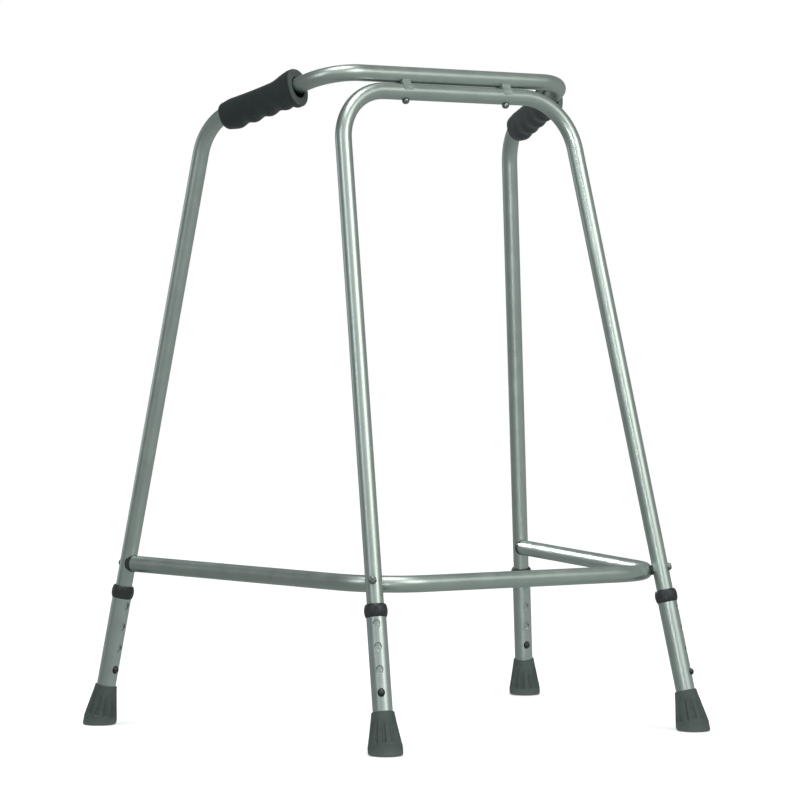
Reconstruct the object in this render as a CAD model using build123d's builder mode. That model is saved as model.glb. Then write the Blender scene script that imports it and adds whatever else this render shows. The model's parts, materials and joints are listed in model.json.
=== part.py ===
from build123d import *

import os
from math import asin, atan2, cos, hypot, pi, radians, sin, sqrt

# A walking frame: two bent aluminium frames bolted one on the other, a brace low down round
# the front, and four telescopic legs with snap buttons and rubber ferrules.
# Millimetres. +Z is up, the closed front faces -Y, and +X is the user's left.
# The origin is on the floor, midway between the four feet.

# Tubes
TUBE_R = 19.05 / 2
TUBE_BORE_R = TUBE_R - 1.3
EXTENSION_R = 22.2 / 2
EXTENSION_BORE_R = EXTENSION_R - 1.22

# Corners of the tubes' centrelines on the user's left, before bending
REAR_FOOT = Vector(312, 228, 0)
REAR_TOP = Vector(219, 137, 707)
FRONT_FOOT = Vector(216, -228, 0)
FRONT_TOP = Vector(160, -55, 736.5)
HANDLE_CORNER_X = 165.5
BAR_SPACING = 20.2
REAR_TOP_BEND = 58
HANDLE_CORNER_BEND = 48
FRONT_TOP_BEND = 66

# Brace, a flat hoop that drops a little towards the front
BRACE_REAR_Z = 190
BRACE_FRONT_Z = 182
BRACE_BEND = 77
BRACE_FROM_LEG = 20.7
SADDLE_R = 5.7
FRONT_BOLT_HEADING = 42
FRONT_HOLE_HEADING = 35
CAP_LENGTH = 2.2
CAP_LIP = 0.3
CAP_SPIGOT = 17

# Telescopic legs, measured along each leg from the middle of its sole
TUBE_START = 40
EXTENSION_START = 10.2
EXTENSION_END = 164
FIRST_HOLE = 67.5
HOLE_PITCH = 25.4
HOLE_COUNT = 4
HOLE_R = 4.0
COLLAR_START = 151.5
COLLAR_END = 166.5
COLLAR_R = 13.1
COLLAR_EDGE_R = 11.6
GUIDE_CLEARANCE = 0.1

# Snap buttons: the stud slides through the tube, and a folded leaf pushes it out
STUD_R = 3.7
STUD_FLANGE_R = 4.4
STUD_BASE = 5.9
STUD_TIP = EXTENSION_R + 3.0
STUD_FLANGE_THICKNESS = 0.8
LEAF_THICKNESS = 0.6
LEAF_WIDTH = 6.0
LEAF_FOLD = 33
LEAF_FOLD_HALF_WIDTH = 3.4

# Ferrules
FERRULE_TOP = 47.5
FERRULE_TOP_R = 12.7
FERRULE_R = 19.4
FERRULE_BAND = 9
FERRULE_FLOOR = 8.9
SOLE_EDGE = 1.2
TREAD_DEPTH = 1.2
TREAD_RADII = (15.2, 10.2)
TREAD_WIDTH = 1.8

# Handgrips, measured forward along the side bar from its rear corner
SECTION_COUNT = 33
GRIP_START = 31
GRIP_LENGTH = 115
GRIP_HALF_WIDTH = 14.8
GRIP_ABOVE = 15.0
GRIP_BELOW = 22.4
FINGER_DEPTH = 2.6
FINGER_PITCH = 24.7
FIRST_CREST = 17.7
FLARE_START = 76
FLARE = 4.6
END_DROOP = 2.2
WAIST = 1.2
FLANGE_THICKNESS = 9
FLANGE_ABOVE = 20
FLANGE_BELOW = 24.5
FLANGE_HALF_WIDTH = 17.0
MOUTH_DEPTH = 12
MOUTH_DROP = 4.4
MOUTH_CLEARANCE = 0.6

# Fasteners, all M5
BOLT_R = 2.45
THREAD_R = 2.5
BOLT_HOLE_R = 2.7
HEAD_R = 4.0
HEAD_HEIGHT = 2.4
NUT_ACROSS_FLATS = 8.0
NUT_HEIGHT = 4.0
NUT_GAP = 0.5
BRACE_BOLT_LENGTH = 47
BOLT_SEAT = 10.6
WASHER_R = 4.6
CROSSBAR_BOLT_X = 71
CROSSBAR_HEAD_R = 4.4
CROSSBAR_HEAD_HEIGHT = 5.0
INSERT_R = 3.5
INSERT_LENGTH = 9
INSERT_BULGE = 1.2
INSERT_BULGE_START = 3.9
INSERT_BULGE_LENGTH = 2.4
PAD_WIDTH = 11
PAD_THICKNESS = BAR_SPACING - 2 * TUBE_R


def mirrored(point):
    """The same point on the other side of the frame."""
    return Vector(-point.X, point.Y, point.Z)


def heading(angle):
    """Level and forward, turned this many degrees towards the user's left."""
    return Vector(sin(radians(angle)), -cos(radians(angle)), 0)


def there_and_back(points):
    """Corners from one end of a symmetric tube to the other."""
    return points + [mirrored(point) for point in reversed(points)]


def tube_along(corners, bends, bore=TUBE_BORE_R):
    """A bent tube with this centreline, or a solid bar of its outside where bore is None."""
    with BuildPart() as tube:
        with BuildLine() as path:
            FilletPolyline(*corners, radius=bends)
        with BuildSketch(Plane(origin=path.line @ 0, z_dir=path.line % 0)):
            Circle(TUBE_R)
            if bore:
                Circle(bore, mode=Mode.SUBTRACT)
        sweep()
    return tube.part


def button_planes(some_legs):
    """Outside the lowest hole of each of these legs, facing out."""
    return [
        Plane(origin=leg.along(FIRST_HOLE) + leg.plane.x_dir * 2 * TUBE_R, z_dir=leg.plane.x_dir)
        for leg in some_legs
    ]


def placed(piece, seats):
    """Copies of one piece on each of these planes, as separate solids."""
    with BuildPart() as group:
        with Locations(*[seat.location for seat in seats]):
            add(piece)
    return group.part


def save(piece, name):
    piece.label = name
    export_step(piece, f"parts/{name}.step")


class LegLine:
    """A leg's straight line, with a plane whose normal runs up it and whose X faces its holes."""

    def __init__(self, name, foot, top, facing):
        self.name = name
        self.foot = foot
        self.up = (top - foot).normalized()
        across = facing - self.up * facing.dot(self.up)
        self.plane = Plane(origin=foot, x_dir=across, z_dir=self.up)

    def along(self, distance):
        return self.foot + self.up * distance

    def at_height(self, height):
        return self.foot + self.up * (height / self.up.Z)


os.makedirs("parts", exist_ok=True)
SIDES = {"left": 1, "right": -1}

# Layout of the brace. Its plane rises to the rear, so the side bars are worked out inside it.
rear_line = LegLine("rear", REAR_FOOT, REAR_TOP, Vector(0, -1, 0))
front_line = LegLine("front", FRONT_FOOT, FRONT_TOP, Vector(0, -1, 0))
brace_end = rear_line.at_height(BRACE_REAR_Z)
brace_contact = front_line.at_height(BRACE_FRONT_Z)
bolt_heading = heading(FRONT_BOLT_HEADING)
hole_heading = heading(FRONT_HOLE_HEADING)
bend_centre = brace_contact - bolt_heading * (BRACE_FROM_LEG + BRACE_BEND)
to_bend = bend_centre - brace_end
side_heading = atan2(to_bend.Y, to_bend.X) + asin(BRACE_BEND / hypot(to_bend.X, to_bend.Y))
front_bar_y = bend_centre.Y - BRACE_BEND
side_run = (front_bar_y - brace_end.Y) / sin(side_heading)
brace_corner = Vector(brace_end.X + side_run * cos(side_heading), front_bar_y, BRACE_FRONT_Z)
side_way = (brace_corner - brace_end).normalized()
brace_start = brace_end + side_way * (TUBE_R + CAP_LENGTH)

# The four legs. The rear ones' holes face along the brace's side bars.
legs = []
for side_name, side in SIDES.items():
    for line, foot, top, facing in (
        ("front", FRONT_FOOT, FRONT_TOP, hole_heading),
        ("rear", REAR_FOOT, REAR_TOP, side_way),
    ):
        if side < 0:
            foot, top, facing = mirrored(foot), mirrored(top), mirrored(facing)
        legs.append(LegLine(f"{line}_{side_name}", foot, top, facing))
front_legs = [leg for leg in legs if leg.name.startswith("front")]
rear_legs = [leg for leg in legs if leg.name.startswith("rear")]

# The bars' bolts lie in the plane of the front frame, so they lean back with its legs
lean = Vector(0, FRONT_TOP.Y - FRONT_FOOT.Y, FRONT_TOP.Z).normalized()
handle_corner = Vector(HANDLE_CORNER_X, FRONT_TOP.Y, FRONT_TOP.Z) + lean * BAR_SPACING
crossbar_seats = [
    Plane(origin=(side * CROSSBAR_BOLT_X, FRONT_TOP.Y, FRONT_TOP.Z), x_dir=(1, 0, 0), z_dir=lean)
    for side in SIDES.values()
]

# Brace bolts: each plane stands on a leg's axis, and its normal points out through the head.
# The front ones are square to their legs, and cross the brace's centreline at its front height.
bolt_rise = -BRACE_FROM_LEG * bolt_heading.dot(front_line.up)
front_seats = []
for leg, out in zip(front_legs, (bolt_heading, mirrored(bolt_heading))):
    square_out = (out - leg.up * out.dot(leg.up)).normalized()
    front_seats.append(Plane(origin=leg.at_height(BRACE_FRONT_Z) + leg.up * bolt_rise, z_dir=square_out))
rear_seats = [
    Plane(origin=leg.at_height(BRACE_REAR_Z), z_dir=way * -1)
    for leg, way in zip(rear_legs, (side_way, mirrored(side_way)))
]

# Solid bars of the tubes' outsides, to shape the pieces that fit on them
handle_corners = there_and_back([rear_line.along(TUBE_START), REAR_TOP, handle_corner])
handle_bends = [REAR_TOP_BEND, HANDLE_CORNER_BEND, HANDLE_CORNER_BEND, REAR_TOP_BEND]
front_corners = there_and_back([front_line.along(TUBE_START), FRONT_TOP])
brace_corners = there_and_back([brace_start, brace_corner])
handle_bar = tube_along(handle_corners, handle_bends, bore=None)
front_bar = tube_along(front_corners, [FRONT_TOP_BEND] * 2, bore=None)
brace_bar = tube_along(brace_corners, [BRACE_BEND] * 2, bore=None)

# Rear handle frame: both rear legs, both side bars and the upper crossbar in one tube
handle_tube = tube_along(handle_corners, handle_bends)
with BuildPart() as handle_frame:
    add(handle_tube)
    with Locations(*button_planes(rear_legs)):
        Hole(HOLE_R, depth=2 * TUBE_R)
    with Locations(*[seat.offset(2 * TUBE_R) for seat in rear_seats]):
        Hole(BOLT_HOLE_R, depth=4 * TUBE_R)
    with Locations(*[seat.offset(BAR_SPACING) for seat in crossbar_seats]):
        Hole(INSERT_R, depth=2 * TUBE_R)
save(handle_frame.part, "rear_handle_frame")

# Front frame: both front legs and the lower crossbar
front_tube = tube_along(front_corners, [FRONT_TOP_BEND] * 2)
with BuildPart() as front_frame:
    add(front_tube)
    with Locations(*button_planes(front_legs)):
        Hole(HOLE_R, depth=2 * TUBE_R)
    with Locations(*[seat.offset(2 * TUBE_R) for seat in front_seats + crossbar_seats]):
        Hole(BOLT_HOLE_R, depth=4 * TUBE_R)
save(front_frame.part, "front_frame")

# Lower brace, bolted end-on to the rear legs and through its bends to the front legs
brace_tube = tube_along(brace_corners, [BRACE_BEND] * 2)
with BuildPart() as brace:
    add(brace_tube)
    with Locations(*front_seats):
        Hole(BOLT_HOLE_R, depth=BRACE_FROM_LEG + 2 * TUBE_R)
save(brace.part, "lower_brace")

# Crossbar pads: a saddle over the lower bar, filled up to the bar above
with BuildPart() as pad:
    with BuildSketch(Plane.YZ.offset(-PAD_WIDTH / 2)):
        Circle(TUBE_R + PAD_THICKNESS)
        with Locations((0, -TUBE_R)):
            Rectangle(4 * TUBE_R, 2 * TUBE_R, mode=Mode.SUBTRACT)
        with Locations((0, BAR_SPACING / 2)):
            Rectangle(1.5 * TUBE_R, 0.8 * TUBE_R)
        Circle(TUBE_R, mode=Mode.SUBTRACT)
        with Locations((0, BAR_SPACING)):
            Circle(TUBE_R, mode=Mode.SUBTRACT)
    extrude(amount=PAD_WIDTH)
    with Locations((0, 0, BAR_SPACING)):
        Hole(BOLT_HOLE_R, depth=BAR_SPACING)
save(placed(pad.part, crossbar_seats), "crossbar_pads")

# Threaded inserts set in the underside of the upper bar, measured from the lower bar's axis
insert_start = BAR_SPACING - sqrt(TUBE_R**2 - INSERT_R**2)
with BuildPart() as insert:
    with BuildSketch(Plane.XY.offset(insert_start)):
        Circle(INSERT_R)
    extrude(amount=INSERT_LENGTH)
    with BuildSketch(Plane.XY.offset(BAR_SPACING - TUBE_R + INSERT_BULGE_START)):
        Circle(INSERT_R + INSERT_BULGE)
    extrude(amount=INSERT_BULGE_LENGTH)
    with Locations((0, 0, 2 * BAR_SPACING)):
        Hole(THREAD_R, depth=2 * BAR_SPACING)
save(placed(insert.part, crossbar_seats), "crossbar_inserts")

# Crossbar bolts, put in from below with their domed heads under the lower bar
with BuildPart() as crossbar_bolt:
    with BuildSketch(Plane.XY.offset(-TUBE_R - CROSSBAR_HEAD_HEIGHT)):
        Circle(CROSSBAR_HEAD_R)
    extrude(amount=CROSSBAR_HEAD_HEIGHT)
    fillet(crossbar_bolt.edges().group_by(Axis.Z)[0], 0.8 * CROSSBAR_HEAD_HEIGHT)
    with BuildSketch(Plane.XY.offset(-TUBE_R)):
        Circle(BOLT_R)
    extrude(amount=BAR_SPACING + INSERT_LENGTH)
save(placed(crossbar_bolt.part, crossbar_seats), "crossbar_bolts")

# Brace bolts, the shaped washers under their heads, and their nuts
with BuildPart() as brace_bolt:
    with BuildSketch(Plane.XY.offset(BOLT_SEAT)):
        Circle(HEAD_R)
    extrude(amount=HEAD_HEIGHT)
    fillet(brace_bolt.edges().group_by(Axis.Z)[-1], 0.8 * HEAD_HEIGHT)
    with BuildSketch(Plane.XY.offset(BOLT_SEAT)):
        Circle(BOLT_R)
    extrude(amount=-BRACE_BOLT_LENGTH)
save(placed(brace_bolt.part, front_seats + rear_seats), "brace_bolts")

with BuildPart() as brace_washers:
    for seat in front_seats + rear_seats:
        with BuildSketch(seat.offset(BOLT_SEAT - TUBE_R / 2)):
            Circle(WASHER_R)
            Circle(BOLT_HOLE_R, mode=Mode.SUBTRACT)
        extrude(amount=TUBE_R / 2)
    add(handle_bar, mode=Mode.SUBTRACT)
    add(front_bar, mode=Mode.SUBTRACT)
save(brace_washers.part, "brace_washers")

with BuildPart() as nut:
    with BuildSketch():
        RegularPolygon(NUT_ACROSS_FLATS / 2, 6, major_radius=False)
        Circle(THREAD_R, mode=Mode.SUBTRACT)
    extrude(amount=-NUT_HEIGHT)
cap_end = TUBE_R + CAP_LENGTH + CAP_SPIGOT
nut_seats = [seat.offset(-BRACE_FROM_LEG - TUBE_R - NUT_GAP) for seat in front_seats]
nut_seats += [seat.offset(-cap_end) for seat in rear_seats]
save(placed(nut.part, nut_seats), "brace_nuts")

# Saddles between the front legs and the brace, hollowed to fit both tubes
with BuildPart() as front_saddles:
    for seat in front_seats:
        with BuildSketch(seat.offset(-BRACE_FROM_LEG + TUBE_R / 2)):
            Circle(SADDLE_R)
            Circle(BOLT_HOLE_R, mode=Mode.SUBTRACT)
        extrude(amount=BRACE_FROM_LEG - TUBE_R)
    add(front_bar, mode=Mode.SUBTRACT)
    add(brace_bar, mode=Mode.SUBTRACT)
save(front_saddles.part, "brace_front_saddles")

# Caps that close the brace's ends, hollowed to fit the rear legs, with a spigot in the tube
with BuildPart() as rear_caps:
    for seat in rear_seats:
        with BuildSketch(seat.offset(-TUBE_R - CAP_LENGTH)):
            Circle(TUBE_R + CAP_LIP)
            Circle(BOLT_HOLE_R, mode=Mode.SUBTRACT)
        extrude(amount=TUBE_R / 2 + CAP_LENGTH)
        with BuildSketch(seat.offset(-TUBE_R - CAP_LENGTH)):
            Circle(TUBE_BORE_R)
            Circle(BOLT_HOLE_R, mode=Mode.SUBTRACT)
        extrude(amount=-CAP_SPIGOT)
    add(handle_bar, mode=Mode.SUBTRACT)
save(rear_caps.part, "brace_rear_caps")

# Leg extension: slides on the outside of the leg's tube, with a row of holes down one side
with BuildPart() as extension:
    with BuildSketch(Plane.XY.offset(EXTENSION_START)):
        Circle(EXTENSION_R)
        Circle(EXTENSION_BORE_R, mode=Mode.SUBTRACT)
    extrude(amount=EXTENSION_END - EXTENSION_START)
    for hole in range(HOLE_COUNT):
        height = FIRST_HOLE + hole * HOLE_PITCH
        with Locations(Plane(origin=(2 * EXTENSION_R, 0, height), z_dir=(1, 0, 0))):
            Hole(HOLE_R, depth=2 * EXTENSION_R)

# Collar: closes the extension's top and guides it on the tube
with BuildPart() as collar:
    with BuildSketch(Plane.XZ):
        with BuildLine():
            outside = ThreePointArc(
                (COLLAR_EDGE_R, COLLAR_START),
                (COLLAR_R, (COLLAR_START + COLLAR_END) / 2),
                (COLLAR_EDGE_R, COLLAR_END),
            )
            Polyline(
                outside @ 1,
                (TUBE_R + GUIDE_CLEARANCE, COLLAR_END),
                (TUBE_R + GUIDE_CLEARANCE, EXTENSION_END),
                (EXTENSION_R, EXTENSION_END),
                (EXTENSION_R, COLLAR_START),
                outside @ 0,
            )
        make_face()
    revolve(axis=Axis.Z)

# Ferrule before its sole is cut level: a bell with a straight band round the bottom
with BuildPart() as ferrule_blank:
    with BuildSketch(Plane.XZ):
        with BuildLine():
            bell = Spline(
                (FERRULE_R, FERRULE_BAND),
                (0.5 * (FERRULE_R + FERRULE_TOP_R), 0.5 * FERRULE_TOP),
                (FERRULE_TOP_R, FERRULE_TOP),
                tangents=((-0.1, 1), (-0.05, 1)),
            )
            Polyline(
                bell @ 1,
                (EXTENSION_R, FERRULE_TOP),
                (EXTENSION_R, FERRULE_FLOOR),
                (0, FERRULE_FLOOR),
                (0, -FERRULE_R / 2),
                (FERRULE_R, -FERRULE_R / 2),
                bell @ 0,
            )
        make_face()
    revolve(axis=Axis.Z)

# Steel washer in the ferrule, under the extension's end
with BuildPart() as ferrule_washer:
    with BuildSketch(Plane.XY.offset(FERRULE_FLOOR)):
        Circle(EXTENSION_R - 0.4)
        Circle(THREAD_R, mode=Mode.SUBTRACT)
    extrude(amount=EXTENSION_START - FERRULE_FLOOR)

# Snap button's stud
with BuildPart() as stud:
    button_plane = Plane(origin=(0, 0, FIRST_HOLE), z_dir=(1, 0, 0))
    with BuildSketch(button_plane.offset(STUD_BASE)):
        Circle(STUD_FLANGE_R)
    extrude(amount=STUD_FLANGE_THICKNESS)
    with BuildSketch(button_plane.offset(STUD_BASE)):
        Circle(STUD_R)
    extrude(amount=STUD_TIP - STUD_BASE)
    fillet(stud.edges().group_by(Axis.X)[-1], 0.7 * STUD_R)

# Snap button's spring: a leaf folded over at the top, with one limb on the tube's far wall
stud_limb = STUD_BASE - LEAF_THICKNESS / 2
wall_limb = 1.0 - TUBE_BORE_R
with BuildPart() as leaf:
    with BuildSketch(Plane.XZ):
        with BuildLine():
            FilletPolyline(
                (stud_limb, FIRST_HOLE - 8),
                (stud_limb, FIRST_HOLE + 8),
                (LEAF_FOLD_HALF_WIDTH, FIRST_HOLE + LEAF_FOLD),
                (-LEAF_FOLD_HALF_WIDTH, FIRST_HOLE + LEAF_FOLD),
                (wall_limb, FIRST_HOLE + 10),
                (wall_limb, FIRST_HOLE - 9),
                radius=[6, 2.6, 2.6, 6],
            )
            offset(amount=LEAF_THICKNESS, side=Side.LEFT)
        make_face()
    extrude(amount=LEAF_WIDTH / 2, both=True)

for leg in legs:
    save(placed(extension.part, [leg.plane]), f"leg_extension_{leg.name}")
    save(placed(collar.part, [leg.plane]), f"leg_collar_{leg.name}")
    save(placed(ferrule_washer.part, [leg.plane]), f"ferrule_washer_{leg.name}")
    save(placed(stud.part, [leg.plane]), f"snap_button_{leg.name}")
    save(placed(leaf.part, [leg.plane]), f"button_spring_{leg.name}")

    # The sole is cut level with the floor, its edge is eased and rings are let into it
    leaning_blank = placed(ferrule_blank.part, [leg.plane])
    with BuildPart() as ferrule:
        add(leaning_blank)
        split(bisect_by=Plane.XY, keep=Keep.TOP)
        fillet(ferrule.faces().sort_by(Axis.Z)[0].outer_wire().edges(), SOLE_EDGE)
        with BuildSketch(Plane(origin=leg.foot)):
            for tread_radius in TREAD_RADII:
                Circle(tread_radius)
                Circle(tread_radius - TREAD_WIDTH, mode=Mode.SUBTRACT)
        extrude(amount=TREAD_DEPTH, mode=Mode.SUBTRACT)
    save(ferrule.part, f"ferrule_{leg.name}")


def eased(share):
    """A share from 0 to 1 with a gentle start and end."""
    share = min(max(share, 0), 1)
    return share * share * (3 - 2 * share)


def grip_section(distance):
    """Half width, height above the bar's axis and depth below it, part way along a grip."""
    body = GRIP_LENGTH - FLANGE_THICKNESS
    flare = eased((distance - FLARE_START) / (body - FLARE_START))
    droop = END_DROOP * (1 - eased(distance / FIRST_CREST))
    waist = WAIST * sin(pi * distance / body)
    groove = droop
    if distance > FIRST_CREST:
        groove = FINGER_DEPTH * (1 - cos(2 * pi * (distance - FIRST_CREST) / FINGER_PITCH)) / 2
    above = GRIP_ABOVE - waist - droop + FLARE * flare
    return GRIP_HALF_WIDTH - waist / 2, above, GRIP_BELOW - groove


# Handgrips: ovals lofted along the bar, a flange in front, and the bent tube taken out
for side_name, side in SIDES.items():
    rear = REAR_TOP if side > 0 else mirrored(REAR_TOP)
    corner = handle_corner if side > 0 else mirrored(handle_corner)
    forward = (corner - rear).normalized()
    sideways = forward.cross(Vector(0, 0, 1)).normalized()
    grip_plane = Plane(origin=rear + forward * GRIP_START, x_dir=sideways, z_dir=forward)
    upward = grip_plane.y_dir.Z / abs(grip_plane.y_dir.Z)
    body_length = GRIP_LENGTH - FLANGE_THICKNESS
    with BuildPart() as grip:
        for section in range(SECTION_COUNT):
            distance = body_length * section / (SECTION_COUNT - 1)
            half_width, above, below = grip_section(distance)
            with BuildSketch(grip_plane.offset(distance)):
                with Locations((0, upward * (above - below) / 2)):
                    Ellipse(half_width, (above + below) / 2)
        loft()
        with BuildSketch(grip_plane.offset(body_length)):
            with Locations((0, upward * (FLANGE_ABOVE - FLANGE_BELOW) / 2)):
                Ellipse(FLANGE_HALF_WIDTH, (FLANGE_ABOVE + FLANGE_BELOW) / 2)
        extrude(amount=FLANGE_THICKNESS)
        with BuildSketch(grip_plane.offset(GRIP_LENGTH - MOUTH_DEPTH)):
            with Locations((0, -upward * MOUTH_DROP / 2)):
                SlotCenterToCenter(MOUTH_DROP, 2 * (TUBE_R + MOUTH_CLEARANCE), rotation=90)
        extrude(amount=MOUTH_DEPTH, mode=Mode.SUBTRACT)
        add(handle_bar, mode=Mode.SUBTRACT)
    save(grip.part, f"handgrip_{side_name}")
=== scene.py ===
import json
from math import asin, atan2, cos, hypot, pi, radians, sin, tan

import bpy
import numpy as np
from mathutils import Matrix, Vector

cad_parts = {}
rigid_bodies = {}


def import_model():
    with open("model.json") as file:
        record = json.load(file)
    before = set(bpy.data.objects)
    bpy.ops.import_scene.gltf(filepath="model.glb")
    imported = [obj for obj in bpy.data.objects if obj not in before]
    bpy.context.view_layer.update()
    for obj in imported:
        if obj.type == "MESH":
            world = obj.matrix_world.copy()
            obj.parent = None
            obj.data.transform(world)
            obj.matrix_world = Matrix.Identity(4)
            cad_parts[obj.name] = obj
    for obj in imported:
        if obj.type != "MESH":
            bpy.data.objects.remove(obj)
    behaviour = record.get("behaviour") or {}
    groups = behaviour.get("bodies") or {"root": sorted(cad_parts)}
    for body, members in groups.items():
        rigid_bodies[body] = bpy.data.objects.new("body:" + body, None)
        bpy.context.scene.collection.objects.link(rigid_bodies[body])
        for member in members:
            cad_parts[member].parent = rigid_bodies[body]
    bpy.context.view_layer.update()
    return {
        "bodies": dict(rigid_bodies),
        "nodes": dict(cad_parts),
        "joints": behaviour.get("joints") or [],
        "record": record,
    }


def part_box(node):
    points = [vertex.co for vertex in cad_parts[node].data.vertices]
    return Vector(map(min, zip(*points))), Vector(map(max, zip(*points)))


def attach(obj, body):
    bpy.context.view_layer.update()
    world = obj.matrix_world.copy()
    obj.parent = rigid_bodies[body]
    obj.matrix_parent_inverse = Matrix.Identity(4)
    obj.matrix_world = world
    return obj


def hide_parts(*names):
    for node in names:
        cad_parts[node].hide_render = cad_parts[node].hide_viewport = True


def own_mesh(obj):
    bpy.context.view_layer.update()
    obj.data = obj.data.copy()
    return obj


# A walking frame of satin aluminium tube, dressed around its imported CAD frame.
# Metres. +Z is up, the closed front faces -Y, and +X is the user's left.
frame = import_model()

SIDES = {"left": 1, "right": -1}
LEG_NAMES = [f"{end}_{side}" for end in ("front", "rear") for side in SIDES]

# Tubes
TUBE_R = 0.009525
TUBE_BORE_R = TUBE_R - 0.0013
EXTENSION_R = 0.0111
EXTENSION_BORE_R = EXTENSION_R - 0.00122
RIM = 0.0003
SHARP_ANGLE = radians(38)
SIDE_BAR_REAR_Z = 0.707
HANDLE_CORNER_X = 0.1655
REAR_TOP_BEND = 0.058
HANDLE_CORNER_BEND = 0.048
FRONT_TOP_BEND = 0.066
BEND_FLATTENING = 0.025

# Brace
BRACE_REAR_Z = 0.190
BRACE_FRONT_Z = 0.182
BRACE_BEND = 0.077
BRACE_FROM_LEG = 0.0207
FRONT_BOLT_HEADING = radians(42)
CAP_LENGTH = 0.0022

# Holes for bolts, inserts and snap buttons
BAR_SPACING = 0.0202
BOLT_HOLE_R = 0.0027
INSERT_R = 0.0035
CROSSBAR_BOLT_X = 0.071
BUTTON_HOLE_R = 0.004
FIRST_HOLE = 0.0675
HOLE_PITCH = 0.0254
HOLE_COUNT = 4
HOLE_EASE = 0.0003

# Telescopic legs, along each leg from the middle of its sole
TUBE_START = 0.040
EXTENSION_START = 0.0102
EXTENSION_END = 0.164
COLLAR_START = 0.1515
COLLAR_END = 0.1665
COLLAR_R = 0.0131
COLLAR_EDGE_R = 0.0116
COLLAR_EASE = 0.0006
COLLAR_FULLNESS = 2.4
GUIDE_CLEARANCE = 0.0001

# Ferrules
FERRULE_TOP = 0.0475
FERRULE_TOP_R = 0.0127
FERRULE_R = 0.0194
FERRULE_BAND = 0.009
FERRULE_FLOOR = 0.0089
FERRULE_LIP = 0.0008
SOLE_EDGE = 0.0026
SOLE_CENTRE_R = 0.0004
TREAD_RINGS = ((0.0083, 0.0099), (0.0133, 0.0149))
TREAD_SLOPE = 0.0003
TREAD_DEPTH = 0.0012
FLUTE_COUNT = 12
FLUTE_START = 0.0115
FLUTE_END = 0.040
FLUTE_RISE = 0.0012
FLUTE_FADE = 0.010
FLUTE_DEPTH = 0.0020

# Handgrips, forward along the side bar from its rear corner
GRIP_START = 0.031
GRIP_LENGTH = 0.115
FLANGE_THICKNESS = 0.009
GRIP_HALF_WIDTH = 0.0148
GRIP_ABOVE = 0.0150
GRIP_BELOW = 0.0224
GRIP_SQUARENESS = 0.9
WAIST = 0.0012
END_DROOP = 0.0022
END_RISE = 0.0030
END_EDGE = 0.0035
FINGER_DEPTH = 0.0026
FINGER_PITCH = 0.0247
FIRST_CREST = 0.0177
FLARE_START = 0.076
FLARE_SIDEWAYS = 0.0012
FLARE_UPWARD = 0.0046
FLANGE_ABOVE = 0.0200
FLANGE_BELOW = 0.0245
FLANGE_HALF_WIDTH = 0.0170
FLANGE_BACK_EDGE = 0.0016
FLANGE_FRONT_EDGE = 0.0024
MOUTH_DEPTH = 0.012
MOUTH_EASE = 0.0005
MOUTH_DROP = 0.0044
MOUTH_CLEARANCE = 0.0006
# Distance along the grip where the painted light on its front face begins
GRIP_PAINTED_LIGHT_START = 0.1285


# ---------------------------------------------------------------- where things are


def mirrored(point):
    """The same point on the other side of the frame."""
    return Vector((-point.x, point.y, point.z))


def on_side(point, sign):
    """A point of the user's left side, or its mirror image on the right."""
    return point if sign > 0 else mirrored(point)


def there_and_back(points):
    """Corners from one end of a symmetric tube to the other."""
    return points + [mirrored(point) for point in reversed(points)]


class Leg:
    """A leg's line and its holes' direction, from its joints' axes and its sole's mount."""

    def __init__(self, name):
        joints = {joint["name"]: joint for joint in frame["joints"]}
        mounts = {mount["name"]: mount for mount in frame["record"]["mounts"]}
        self.name = name
        self.body = f"leg_{name}"
        self.foot = Vector(mounts[f"sole_{name}"]["pos_m"])
        self.up = -Vector(joints[f"leg_{name}_slide"]["axis"])
        self.out = -Vector(joints[f"button_{name}_press"]["axis"])
        self.press = joints[f"button_{name}_press"]["range_m"][1]
        across = self.up.cross(self.out)
        axes = Matrix((self.out, across, self.up)).transposed()
        self.matrix = Matrix.Translation(self.foot) @ axes.to_4x4()

    def along(self, distance):
        """The point this far up the leg from its sole."""
        return self.foot + self.up * distance

    def at_height(self, height):
        """The leg's point at this height above the floor."""
        return self.foot + self.up * ((height - self.foot.z) / self.up.z)


legs = {name: Leg(name) for name in LEG_NAMES}
front_line = legs["front_left"]
rear_line = legs["rear_left"]

# The tubes' corners on the user's left, before bending
front_top = front_line.at_height(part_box("front_frame")[1].z - TUBE_R)
rear_top = rear_line.at_height(SIDE_BAR_REAR_Z)
handle_low, handle_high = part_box("rear_handle_frame")
handle_corner = Vector((HANDLE_CORNER_X, handle_low.y + TUBE_R, handle_high.z - TUBE_R))
bar_up = (handle_corner - Vector((HANDLE_CORNER_X, front_top.y, front_top.z))).normalized()

bolt_heading = Vector((sin(FRONT_BOLT_HEADING), -cos(FRONT_BOLT_HEADING), 0))
brace_end = rear_line.at_height(BRACE_REAR_Z)
bend_centre = front_line.at_height(BRACE_FRONT_Z) - bolt_heading * (BRACE_FROM_LEG + BRACE_BEND)
to_bend = bend_centre - brace_end
side_heading = atan2(to_bend.y, to_bend.x) + asin(BRACE_BEND / hypot(to_bend.x, to_bend.y))
front_bar_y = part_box("lower_brace")[0].y + TUBE_R
side_run = (front_bar_y - brace_end.y) / sin(side_heading)
brace_corner = Vector((brace_end.x + side_run * cos(side_heading), front_bar_y, BRACE_FRONT_Z))
side_way = (brace_corner - brace_end).normalized()
brace_start = brace_end + side_way * (TUBE_R + CAP_LENGTH)

# The front bolts are square to their legs, and cross the brace's centreline
bolt_rise = -BRACE_FROM_LEG * bolt_heading.dot(front_line.up)
bolt_way = (bolt_heading - front_line.up * bolt_heading.dot(front_line.up)).normalized()


# ---------------------------------------------------------------- meshes


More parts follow.
